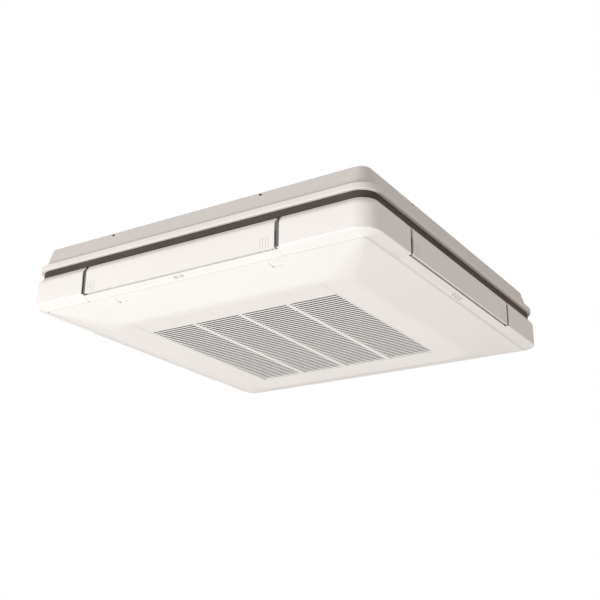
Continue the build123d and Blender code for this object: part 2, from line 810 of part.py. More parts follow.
def make_filter_frame():
    half_x, half_y = filter_half_sizes()
    z1 = grille_top + filter_height
    frame = block(-half_x, half_x, -half_y, half_y, grille_top, z1)
    frame -= block(-half_x + filter_bar, half_x - filter_bar, -half_y + filter_bar, half_y - filter_bar,
                   grille_top - 1, z1 + 1)
    pitch = (2 * half_x - filter_bar) / (filter_cross_bars + 1)
    for bar in range(filter_cross_bars):
        x = -half_x + filter_bar / 2 + (bar + 1) * pitch
        frame += block(x - filter_bar / 4, x + filter_bar / 4, -half_y + 1, half_y - 1, grille_top,
                       grille_top + filter_height / 2)
    return frame


def make_filter_mesh():
    half_x, half_y = filter_half_sizes()
    low = grille_top + filter_height / 2
    return block(-half_x + filter_bar, half_x - filter_bar, -half_y + filter_bar, half_y - filter_bar,
                 low, low + filter_mesh_thickness)


# ---- fan and its motor ----

def blade_outline():
    # A blade in plan: its middle line turns back as it goes out, at a steady rate.
    steps = 8
    middle = []
    for step in range(steps + 1):
        share = step / steps
        radius = blade_inner_radius + share * (fan_radius - 2 - blade_inner_radius)
        angle = -radians(blade_sweep) * share
        middle.append((radius * cos(angle), radius * sin(angle)))
    return middle


def make_blade():
    middle = Spline(*blade_outline())
    shape = trace(middle, blade_thickness)
    return extrude(Plane.XY.offset(shroud_bottom + fan_skin / 2) * shape, fan_height - fan_skin)


def make_fan_wheel():
    hub = make_face(Polyline(
        (fan_radius, -fan_top), (fan_hub_radius, -fan_top), (fan_cone_radius, cone_bottom),
        (shaft_radius + press_gap, cone_bottom), (shaft_radius + press_gap, boss_bottom),
        (hub_boss_radius, boss_bottom), (hub_boss_radius, cone_bottom - fan_skin),
        (fan_cone_radius + fan_skin, cone_bottom - fan_skin),
        (fan_hub_radius + fan_skin, -fan_top - fan_skin), (fan_radius, -fan_top - fan_skin), close=True))
    wheel = revolve(Plane.XZ * hub, Axis.Z)
    wheel += upright(fan_radius, 0, 0, shroud_bottom, shroud_bottom + fan_skin) \
        - upright(fan_inlet_radius, 0, 0, shroud_bottom - 1, shroud_bottom + fan_skin + 1)
    blade = make_blade()
    for count in range(blade_count):
        wheel += Rot(0, 0, 360 * count / blade_count) * blade
    return wheel


def make_motor_shaft():
    return upright(shaft_radius, 0, 0, boss_bottom - nut_height, motor_bottom + shaft_in_motor)


def make_hub_nut():
    nut = extrude(Plane.XY.offset(boss_bottom - nut_height) * RegularPolygon(nut_radius, 6), nut_height)
    return nut - upright(shaft_radius + press_gap, 0, 0, boss_bottom - nut_height - 1, boss_bottom + 1)


def make_fan_motor():
    motor = upright(motor_body_radius, 0, 0, motor_bottom, mount_bottom)
    motor += upright(motor_nose_radius, 0, 0, motor_bottom - motor_nose_height, motor_bottom)
    bore_top = motor_bottom + shaft_in_motor + 1
    return motor - upright(shaft_radius + running_gap, 0, 0, motor_bottom - clear, bore_top)


def make_motor_mounts():
    return [Rot(0, 0, 360 * count / mount_count) * upright(mount_radius, mount_circle, 0, mount_bottom, -sheet)
            for count in range(mount_count)]


# ---- bell mouth, drain pan and coil ----

def make_bell_mouth():
    centre_radius = throat_radius + bell_sheet + bell_radius
    quarter = (Circle(bell_radius + bell_sheet) - Circle(bell_radius)) \
        & Pos(-bell_radius, -bell_radius) * Rectangle(2 * bell_radius, 2 * bell_radius)
    bell = revolve(Plane.XZ * Pos(centre_radius, throat_top) * quarter, Axis.Z)
    plate = square_block(bell_plate_half, bell_plate_corner, bell_plate_bottom, pan_bottom)
    return bell + (plate - upright(centre_radius, 0, 0, bell_plate_bottom - 1, pan_bottom + 1))


def make_drain_pan():
    pan = square_ring(pan_half, pan_inner_half, pan_corner, pan_bottom, pan_top)
    channel = square_ring(coil_half + pan_channel_margin, coil_inner_half - pan_channel_margin,
                          coil_corner + pan_channel_margin, channel_floor, pan_top + 1)
    pump_sump = upright(pump_foot_radius + 2, pump_x, pump_y, channel_floor, pan_top + 1)
    return pan - channel - pump_sump


def pipe_corner():
    return block(-coil_half - clear, -coil_end, coil_end, coil_half + clear, coil_bottom - 1, coil_top + 1)


def make_heat_exchanger():
    return square_ring(coil_half, coil_inner_half, coil_corner, coil_bottom, coil_top) - pipe_corner()


def make_coil_end_plates():
    back = block(-coil_end - end_plate, -coil_end, coil_inner_half, coil_half, coil_bottom, coil_top)
    left = block(-coil_half, -coil_inner_half, coil_end, coil_end + end_plate, coil_bottom, coil_top)
    return [back, left]


def make_coil_bends():
    face = coil_end + end_plate
    x = -(coil_half + coil_inner_half) / 2
    middle = (coil_top + coil_bottom) / 2
    bends = []
    for count in range(bend_count):
        z = middle + (count - (bend_count - 1) / 2) * bend_spacing
        ring = Pos(x, face, z) * Rot(0, 90, 0) * Torus(bend_radius, bend_tube_radius)
        bends.append(ring & block(x - clear, x + clear, face, face + clear, z - clear, z + clear))
    return bends


def make_header(radius, x, y):
    low = coil_bottom + pipe_bottom_rise
    high = -union_depth - union_nose - union_hex
    header = upright(radius, x, y, low, high)
    for count in range(pipe_stub_count):
        z = low + (count + 0.5) * (high - low) / pipe_stub_count
        header += rod_x(pipe_stub_radius, x, -coil_end - end_plate, y, z)
    return header


def make_union(nose_radius, x, y):
    nose_low = -union_depth - union_nose
    hexagon = Plane.XY.offset(nose_low - union_hex) * Pos(x, y) * RegularPolygon(nose_radius + 2, 6)
    return extrude(hexagon, union_hex) + upright(nose_radius, x, y, nose_low, -union_depth)


# ---- drain pump, float and socket ----

def make_drain_pump():
    foot_low = channel_floor + seat_gap
    foot_top = foot_low + pump_foot_height
    pump = upright(pump_foot_radius, pump_x, pump_y, foot_low, foot_top)
    pump += upright(pump_radius, pump_x, pump_y, foot_top, foot_top + pump_height)
    chamber_top = foot_low + pump_chamber_height
    pump -= upright(pump_foot_radius - pump_wall, pump_x, pump_y, foot_low - 1, chamber_top)
    return pump - upright(impeller_shaft_radius + running_gap, pump_x, pump_y, chamber_top - 1,
                          chamber_top + impeller_shaft_length)


def make_pump_impeller():
    low = channel_floor + seat_gap + impeller_rise
    top = low + impeller_height
    chamber_top = channel_floor + seat_gap + pump_chamber_height
    wheel = upright(impeller_radius / 2, pump_x, pump_y, low, top)
    blades = Box(2 * impeller_radius, 2, impeller_height) + Box(2, 2 * impeller_radius, impeller_height)
    wheel += Pos(pump_x, pump_y, (low + top) / 2) * blades
    return wheel + upright(impeller_shaft_radius, pump_x, pump_y, top,
                           chamber_top + impeller_shaft_length - 1)


def make_drain_socket():
    spigot_z = channel_floor + seat_gap + pump_foot_height + spigot_radius + 4
    low = spigot_z - spigot_radius - 4
    socket = upright(socket_body_radius, pump_x, socket_y, low, -union_depth - socket_nose)
    socket += upright(socket_outer_radius, pump_x, socket_y, -union_depth - socket_nose, -union_depth)
    socket += rod_y(spigot_radius, pump_y + pump_radius + seat_gap, socket_y, pump_x, spigot_z)
    socket -= upright(socket_inner_radius, pump_x, socket_y, low + 4, 0)
    return socket - rod_y(spigot_radius - 3, pump_y + pump_radius - 1, socket_y, pump_x, spigot_z)


def make_float_guide():
    x = -(coil_half + coil_inner_half) / 2
    low = channel_floor
    float_low = low + float_stop
    stem_top = float_low + float_height + float_travel + 2 * seat_gap
    guide = upright(float_stem_radius, x, float_y, low, stem_top + float_stop)
    guide += upright(float_stop_radius, x, float_y, low, float_low)
    return guide + upright(float_stop_radius, x, float_y, stem_top, stem_top + float_stop)


def make_drain_float():
    x = -(coil_half + coil_inner_half) / 2
    low = channel_floor + float_stop + seat_gap
    ring = upright(float_radius, x, float_y, low, low + float_height)
    return ring - upright(float_stem_radius + 2 * running_gap, x, float_y, low - 1, low + float_height + 1)


# ---- electrical box and cable inlet ----

def make_control_box():
    z0 = bell_plate_bottom - box_height
    case = block(-box_length / 2, box_length / 2, box_front, box_front + box_width, z0, bell_plate_bottom)
    return case - block(-box_length / 2 + box_sheet, box_length / 2 - box_sheet, box_front + box_sheet,
                        box_front + box_width - box_sheet, z0 - 1, bell_plate_bottom - box_sheet)


def make_control_box_lid():
    z1 = bell_plate_bottom - box_height
    return block(-box_length / 2, box_length / 2, box_front, box_front + box_width, z1 - box_sheet, z1)


def make_circuit_board():
    z1 = bell_plate_bottom - box_sheet - seat_gap
    x0 = -box_length / 2 + 3 * box_sheet
    y0 = box_front + (box_width - board_width) / 2
    return block(x0, x0 + board_length, y0, y0 + board_width, z1 - board_thickness, z1)


def make_terminal_block():
    z1 = bell_plate_bottom - box_sheet
    x1 = box_length / 2 - 3 * box_sheet
    y0 = box_front + (box_width - terminal_width) / 2
    body = block(x1 - terminal_length, x1, y0, y0 + terminal_width, z1 - terminal_height, z1)
    poles = 5
    pitch = terminal_length / poles
    for pole in range(poles):
        x = x1 - terminal_length + (pole + 0.5) * pitch
        body -= upright(pitch / 4, x, y0 + terminal_width / 2, z1 - terminal_height - 1,
                        z1 - terminal_height / 2)
    return body


def make_cable_grommet():
    ring = upright(grommet_radius, grommet_x, grommet_y, -grommet_depth, 0)
    ring += upright(grommet_radius + grommet_flange, grommet_x, grommet_y, -grommet_depth, -sheet)
    return ring - upright(grommet_bore, grommet_x, grommet_y, -grommet_depth - 1, 1)


def main():
    save(make_top_shell(), "top_shell")
    save(make_upper_frame(), "upper_frame")
    save(make_foam_liner(), "foam_liner")
    save_group(make_hanger_brackets(), "hanger_brackets")
    save_group(make_hanger_screws(), "hanger_screws")
    save(make_outlet_frame(), "outlet_frame")
    save(make_shadow_band(), "shadow_band")
    save(make_lower_frame(), "lower_frame")
    save_group(make_bearing_plates(), "flap_bearing_plates")
    skirt = make_skirt()
    cover = make_corner_cover(skirt)
    corners = ("front_right", "back_right", "back_left", "front_left")
    for side, name in enumerate(sides):
        save(turned(cover, side), f"corner_cover_{corners[side]}")
        save(turned(make_rim_strip(skirt, side), side), f"rim_strip_{name}")
        save(turned(make_flap(), side), f"flap_{name}")
        save(turned(make_flap_shaft(), side), f"flap_shaft_{name}")
        save(turned(make_flap_motor(), side), f"flap_motor_{name}")
    save(make_suction_panel(), "suction_panel")
    save(make_intake_grille(), "intake_grille")
    save(badge_block(0), "badge_plate")
    save(make_filter_frame(), "filter_frame")
    save(make_filter_mesh(), "filter_mesh")
    save(make_latch(-latch_spacing / 2), "latch_left")
    save(make_latch(latch_spacing / 2), "latch_right")
    save_group(make_hinge_pins(), "hinge_pins")
    save(make_fan_wheel(), "fan_wheel")
    save(make_motor_shaft(), "motor_shaft")
    save(make_hub_nut(), "hub_nut")
    save(make_fan_motor(), "fan_motor")
    save_group(make_motor_mounts(), "motor_mounts")
    save(make_bell_mouth(), "bell_mouth")
    save(make_drain_pan(), "drain_pan")
    save(make_heat_exchanger(), "heat_exchanger")
    save_group(make_coil_end_plates(), "coil_end_plates")
    save_group(make_coil_bends(), "coil_bends")
    save(make_header(gas_pipe_radius, gas_pipe_x, gas_pipe_y), "gas_pipe")
    save(make_header(liquid_pipe_radius, liquid_pipe_x, liquid_pipe_y), "liquid_pipe")
    save_group([make_union(gas_nose_radius, gas_pipe_x, gas_pipe_y),
                make_union(liquid_nose_radius, liquid_pipe_x, liquid_pipe_y)], "flare_unions")
    save(make_drain_pump(), "drain_pump")
    save(make_pump_impeller(), "pump_impeller")
    save(make_drain_socket(), "drain_socket")
    save(make_float_guide(), "float_guide")
    save(make_drain_float(), "drain_float")
    save(make_control_box(), "control_box")
    save(make_control_box_lid(), "control_box_lid")
    save(make_circuit_board(), "circuit_board")
    save(make_terminal_block(), "terminal_block")
    save(make_cable_grommet(), "cable_grommet")


main()
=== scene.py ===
import json
from math import pi, radians

import bmesh
import bpy
import numpy as np
from mathutils import Matrix, Vector


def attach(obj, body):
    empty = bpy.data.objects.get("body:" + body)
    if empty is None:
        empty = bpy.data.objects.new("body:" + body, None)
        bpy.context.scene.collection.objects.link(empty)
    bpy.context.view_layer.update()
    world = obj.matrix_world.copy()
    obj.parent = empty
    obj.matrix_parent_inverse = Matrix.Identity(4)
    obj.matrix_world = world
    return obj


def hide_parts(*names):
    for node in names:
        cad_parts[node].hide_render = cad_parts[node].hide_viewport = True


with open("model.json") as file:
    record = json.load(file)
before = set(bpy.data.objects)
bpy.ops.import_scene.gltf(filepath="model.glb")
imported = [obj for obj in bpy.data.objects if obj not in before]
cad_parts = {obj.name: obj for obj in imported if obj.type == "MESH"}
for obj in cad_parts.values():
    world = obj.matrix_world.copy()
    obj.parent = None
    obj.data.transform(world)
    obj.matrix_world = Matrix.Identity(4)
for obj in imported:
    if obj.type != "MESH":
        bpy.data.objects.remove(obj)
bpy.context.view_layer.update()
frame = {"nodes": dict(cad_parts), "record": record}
record = frame["record"]
slotOf = {part["node"]: part["material_slot"] for part in record["subparts"]}
bodyOf = {node: body for body, nodes in record["behaviour"]["bodies"].items() for node in nodes}
sideNames = ("front", "right", "back", "left")
cornerNames = ("front_right", "back_right", "back_left", "front_left")
mergeDistance = 2e-6    # points nearer to each other than this become one
print("frame loaded,", len(frame["nodes"]), "nodes")


def gridPart(points, wrapU=False, wrapV=False, capped=False):
    # Points stand on a grid of u rows and v columns; each face joins four neighbours, and a wrapped
    # direction closes.
    rows, columns = points.shape[:2]
    index = np.arange(rows * columns).reshape(rows, columns)
    if wrapU:
        index = np.vstack([index, index[:1]])
    if wrapV:
        index = np.hstack([index, index[:, :1]])
    quads = np.stack([index[:-1, :-1], index[:-1, 1:], index[1:, 1:], index[1:, :-1]], axis=-1)
    faces = quads.reshape(-1, 4).tolist()
    if capped:
        faces += [index[0, :columns].tolist(), index[rows - 1, :columns][::-1].tolist()]
    return points.reshape(-1, 3), faces


def joined(parts):
    vertices, faces, start = [], [], 0
    for points, partFaces in parts:
        vertices.append(points)
        faces += [[start + corner for corner in face] for face in partFaces]
        start += len(points)
    return np.concatenate(vertices), faces


def meshFrom(name, parts, sharpAngle=32):
    vertices, faces = joined(parts)
    mesh = bpy.data.meshes.new(name)
    mesh.from_pydata(vertices.tolist(), [], faces)
    tidyMesh(mesh, sharpAngle)
    return mesh


def tidyMesh(mesh, sharpAngle):
    work = bmesh.new()
    work.from_mesh(mesh)
    bmesh.ops.remove_doubles(work, verts=work.verts, dist=mergeDistance)
    bmesh.ops.dissolve_degenerate(work, edges=work.edges, dist=mergeDistance / 2)
    bmesh.ops.recalc_face_normals(work, faces=work.faces)
    work.to_mesh(mesh)
    work.free()
    smoothFaces(mesh, sharpAngle)


def smoothFaces(mesh, sharpAngle):
    for face in mesh.polygons:
        face.use_smooth = True
    mesh.set_sharp_from_angle(angle=radians(sharpAngle))


def addPiece(name, mesh, body, slot, stands=()):
    # A new object that moves with its body, has its slot's finish and stands for the named CAD nodes.
    piece = bpy.data.objects.new(name, mesh)
    bpy.context.scene.collection.objects.link(piece)
    mesh.materials.clear()
    mesh.materials.append(finishes[slot])
    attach(piece, body)
    for node in stands:
        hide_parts(node)
    return piece


def roundEdges(piece, width, angle=40):
    bevel = piece.modifiers.new("edges", "BEVEL")
    bevel.width = width
    bevel.segments = 2
    bevel.limit_method = "ANGLE"
    bevel.angle_limit = radians(angle)
    bevel.harden_normals = True


def refineNode(node, name, width, flatAngle=0.4, sharpAngle=24):
    # A copy of a CAD node, merged, with flat areas made whole, smooth curves and small rounded edges.
    mesh = frame["nodes"][node].data.copy()
    mesh.name = name
    work = bmesh.new()
    work.from_mesh(mesh)
    bmesh.ops.remove_doubles(work, verts=work.verts, dist=mergeDistance)
    bmesh.ops.dissolve_limit(work, angle_limit=radians(flatAngle), verts=work.verts, edges=work.edges)
    work.to_mesh(mesh)
    work.free()
    smoothFaces(mesh, sharpAngle)
    piece = addPiece(name, mesh, bodyOf[node], slotOf[node], (node,))
    if width:
        roundEdges(piece, width)


def revolved(profile, turns):
    # A closed profile of (radius, height) goes once round the vertical axis:
    # x = radius times cos(angle), y = radius times sin(angle), z = height.
    angle = np.linspace(0, 2 * pi, turns, endpoint=False)[:, None]
    radius, height = np.array(profile).T
    points = np.stack([radius * np.cos(angle), radius * np.sin(angle), height + 0 * angle], axis=-1)
    return gridPart(points, wrapU=True, wrapV=True)


def turning(angle):
    # Points times this matrix turn about the upright axis: x = x cos - y sin, y = x sin + y cos.
    return np.array([(np.cos(angle), np.sin(angle), 0), (-np.sin(angle), np.cos(angle), 0), (0, 0, 1)])


squareSection = np.array([(-1, -1), (1, -1), (1, 1), (-1, 1)])


def bars(start, end, across, over, section=squareSection):
    # Many straight bars at once: each point of the section stands at the bar's end plus its first number
    # times the half-width vector plus its second number times the half-height vector.
    count = len(section)
    ring = section[:, :1] * across[:, None] + section[:, 1:] * over[:, None]
    points = np.concatenate([start[:, None] + ring, end[:, None] + ring], axis=1)
    near = np.arange(count)
    beyond = (near + 1) % count
    first = np.arange(len(start))[:, None, None] * 2 * count
    sides = first + np.stack([near, beyond, beyond + count, near + count], -1)
    caps = first + np.stack([near[::-1], near + count])
    return points.reshape(-1, 3), sides.reshape(-1, 4).tolist() + caps.reshape(-1, count).tolist()


def tube(path, outward, radius, around):
    # A round tube along a level path: point = path + radius times (cos(angle) outward + sin(angle) up).
    angle = np.linspace(0, 2 * pi, around, endpoint=False)[None, :, None]
    points = path[:, None] + radius * (np.cos(angle) * outward[:, None] + np.sin(angle) * np.array((0, 0, 1)))
    return gridPart(points, wrapV=True, capped=True)


def gratedPlate(xs, ys, solid, low, high):
    # A level plate on a grid of lines: cells marked solid get a lower and an upper face, and a side stands
    # wherever a solid cell meets an open one.
    columns, rows = len(xs), len(ys)
    across, along = np.meshgrid(xs, ys, indexing="ij")
    points = np.concatenate([np.stack([across, along, np.full_like(across, level)], -1).reshape(-1, 3)
                             for level in (low, high)])
    index = np.arange(columns * rows).reshape(columns, rows)
    above = columns * rows
    a, b, c, d = index[:-1, :-1], index[1:, :-1], index[1:, 1:], index[:-1, 1:]
    faces = [np.stack([a, d, c, b], -1)[solid], np.stack([a, b, c, d], -1)[solid] + above]
    closed = np.pad(solid, 1)
    inside = closed[1:-1, 1:-1]
    for first, second, beyond in ((a, b, closed[1:-1, :-2]), (b, c, closed[2:, 1:-1]),
                                  (c, d, closed[1:-1, 2:]), (d, a, closed[:-2, 1:-1])):
        bare = inside & ~beyond
        faces.append(np.stack([first, second, second + above, first + above], -1)[bare])
    return points, np.concatenate(faces).tolist()


def addNode(tree, kind, inputs=None, **settings):
    # An input that is a socket is linked, and any other is set as a value.
    node = tree.nodes.new(kind)
    for key, value in settings.items():
        setattr(node, key, value)
    for key, value in (inputs or {}).items():
        if isinstance(value, bpy.types.NodeSocket):
            tree.links.new(value, node.inputs[key])
        else:
            node.inputs[key].default_value = value
    return node


def startMaterial(name):
    material = bpy.data.materials.new(name)
    material.use_nodes = True
    tree = material.node_tree
    shader = tree.nodes["Principled BSDF"]
    place = addNode(tree, "ShaderNodeTexCoord").outputs["Object"]
    return material, tree, shader, place


def ramp(tree, factor, stops):
    # Each stop is a value of the factor and the colour there. A new ramp has its first and last stop already.
    node = addNode(tree, "ShaderNodeValToRGB", {"Fac": factor})
    elements = node.color_ramp.elements
    for element, (position, colour) in zip(elements, (stops[0], stops[-1])):
        element.position = position
        element.color = (*colour, 1)
    for position, colour in stops[1:-1]:
        elements.new(position).color = (*colour, 1)
    return node.outputs["Color"]


noiseRange = (0.3, 0.7)    # nearly all values of a noise texture lie between these


def noise(tree, place, scale, detail=2, roughness=0.5):
    return addNode(tree, "ShaderNodeTexNoise", {"Vector": place, "Scale": scale, "Detail": detail,
                                                "Roughness": roughness}).outputs["Fac"]


def spread(tree, value, low, high):
    # The noise range is stretched to run from low to high.
    start, end = noiseRange
    return addNode(tree, "ShaderNodeMapRange", {"Value": value, "From Min": start, "From Max": end,
                                                "To Min": low, "To Max": high}).outputs["Result"]


def bump(tree, height, distance, under=None):
    # Height times distance stands on the surface, on top of the bumps given as under.
    inputs = {"Height": height, "Distance": distance}
    if under is not None:
        inputs["Normal"] = under
    return addNode(tree, "ShaderNodeBump", inputs).outputs["Normal"]


def tinted(colour, factor):
    return tuple(min(1, value * factor) for value in colour)


def plastic(name, values):
    # Moulded plastic: broad faint clouds in the colour and the gloss, a fine spark-eroded grain and a slow
    # waviness in the surface.
    material, tree, shader, place = startMaterial(name)
    start, end = noiseRange
    clouds = noise(tree, place, values["cloudScale"], detail=3)
    dark = tinted(values["colour"], values["darker"])
    colour = ramp(tree, clouds, [(start, dark), (end, values["colour"])])
    tree.links.new(colour, shader.inputs["Base Color"])
    gloss = spread(tree, noise(tree, place, values["glossScale"]), *values["roughness"])
    tree.links.new(gloss, shader.inputs["Roughness"])
    grain = noise(tree, place, values["grainScale"], detail=3, roughness=0.6)
    wave = noise(tree, place, values["waveScale"], detail=1)
    surface = bump(tree, wave, values["waveHeight"])
    tree.links.new(bump(tree, grain, values["grainHeight"], surface), shader.inputs["Normal"])
    shader.inputs["Specular IOR Level"].default_value = values.get("specular", 0.5)    # half is usual
    return material


tarnishRange = (0.32, 0.62)    # of the patches' noise: tarnish below it, clean metal above it


def metal(name, values):
    # Worked metal: fine lines along one direction that change the gloss, and patches of tarnish.
    material, tree, shader, place = startMaterial(name)
    stretched = addNode(tree, "ShaderNodeMapping", {"Vector": place, "Scale": values["stretch"]})
    lines = noise(tree, stretched.outputs["Vector"], values["lineScale"], detail=4, roughness=0.7)
    patches = noise(tree, place, values["patchScale"], detail=4, roughness=0.6)
    start, end = tarnishRange
    colour = ramp(tree, patches, [(start, values["tarnish"]), (end, values["colour"])])
    tree.links.new(colour, shader.inputs["Base Color"])
    tree.links.new(spread(tree, lines, *values["roughness"]), shader.inputs["Roughness"])
    tree.links.new(bump(tree, lines, values["lineHeight"]), shader.inputs["Normal"])
    shader.inputs["Metallic"].default_value = values["metallic"]
    return material


def voronoi(tree, place, scale, feature="F1", output="Distance"):
    node = addNode(tree, "ShaderNodeTexVoronoi", {"Vector": place, "Scale": scale}, feature=feature)
    return node.outputs[output]


def zincSheet(name, values):
    # Hot-dipped zinc: crystal patches that differ in tone and gloss, with white bloom over them.
    material, tree, shader, place = startMaterial(name)
    crystal = voronoi(tree, place, values["crystalScale"], "F1", "Color")
    shade = addNode(tree, "ShaderNodeSeparateColor", {"Color": crystal}).outputs
    tone = ramp(tree, shade["Red"], [(0.0, values["dark"]), (0.5, values["colour"]), (1.0, values["light"])])
    bloom = noise(tree, place, values["bloomScale"], detail=5, roughness=0.65)
    start, end = values["bloomRange"]
    cover = ramp(tree, bloom, [(start, (0, 0, 0)), (end, [values["bloomCover"]] * 3)])
    mixed = addNode(tree, "ShaderNodeMix", {"Factor": cover}, data_type="RGBA")
    tree.links.new(tone, mixed.inputs["A"])
    mixed.inputs["B"].default_value = (*values["bloom"], 1)
    tree.links.new(mixed.outputs["Result"], shader.inputs["Base Color"])
    low, high = values["roughness"]
    gloss = addNode(tree, "ShaderNodeMapRange", {"Value": shade["Green"], "To Min": low, "To Max": high})
    tree.links.new(gloss.outputs["Result"], shader.inputs["Roughness"])
    tree.links.new(bump(tree, bloom, values["bloomHeight"]), shader.inputs["Normal"])
    shader.inputs["Metallic"].default_value = values["metallic"]
    return material


def beadFoam(name, values):
    # Expanded foam: rounded beads pressed together, each a little different in tone, dark in the joints.
    material, tree, shader, place = startMaterial(name)
    joint = voronoi(tree, place, values["beadScale"], "DISTANCE_TO_EDGE")
    bead = voronoi(tree, place, values["beadScale"], "F1", "Color")
    shade = addNode(tree, "ShaderNodeSeparateColor", {"Color": bead}).outputs["Red"]
    tone = ramp(tree, shade, [(0.0, tinted(values["colour"], values["darker"])), (1.0, values["colour"])])
    edge = ramp(tree, joint, [(0.0, [values["jointTone"]] * 3), (values["jointWidth"], (1, 1, 1))])
    mixed = addNode(tree, "ShaderNodeMix", {"Factor": 1.0}, data_type="RGBA", blend_type="MULTIPLY")
    tree.links.new(tone, mixed.inputs["A"])
    tree.links.new(edge, mixed.inputs["B"])
    tree.links.new(mixed.outputs["Result"], shader.inputs["Base Color"])
    shader.inputs["Roughness"].default_value = values["roughness"]
    tree.links.new(bump(tree, joint, values["beadHeight"]), shader.inputs["Normal"])
    return material


def printedBoard(name, values):
    # Circuit board: raised tracks under green lacquer, with small bright pads between them.
    material, tree, shader, place = startMaterial(name)
    dark = tinted(values["colour"], values["darker"])
    tracks = addNode(tree, "ShaderNodeTexBrick", {
        "Vector": place, "Scale": values["trackScale"], "Mortar Size": values["trackWidth"],
        "Mortar Smooth": values["trackSoftness"], "Color1": (*values["colour"], 1), "Color2": (*dark, 1),
        "Mortar": (*values["track"], 1)}, offset=values["trackShift"])
    pads = voronoi(tree, place, values["padScale"])
    flat, edge = values["padRadii"]
    ringed = ramp(tree, pads, [(0.0, values["pad"]), (flat, values["pad"]), (edge, (0, 0, 0))])
    mixed = addNode(tree, "ShaderNodeMix", {"Factor": 1.0}, data_type="RGBA", blend_type="SCREEN")
    tree.links.new(tracks.outputs["Color"], mixed.inputs["A"])
    tree.links.new(ringed, mixed.inputs["B"])
    tree.links.new(mixed.outputs["Result"], shader.inputs["Base Color"])
    shader.inputs["Roughness"].default_value = values["roughness"]
    tree.links.new(bump(tree, tracks.outputs["Fac"], values["trackHeight"]), shader.inputs["Normal"])
    return material


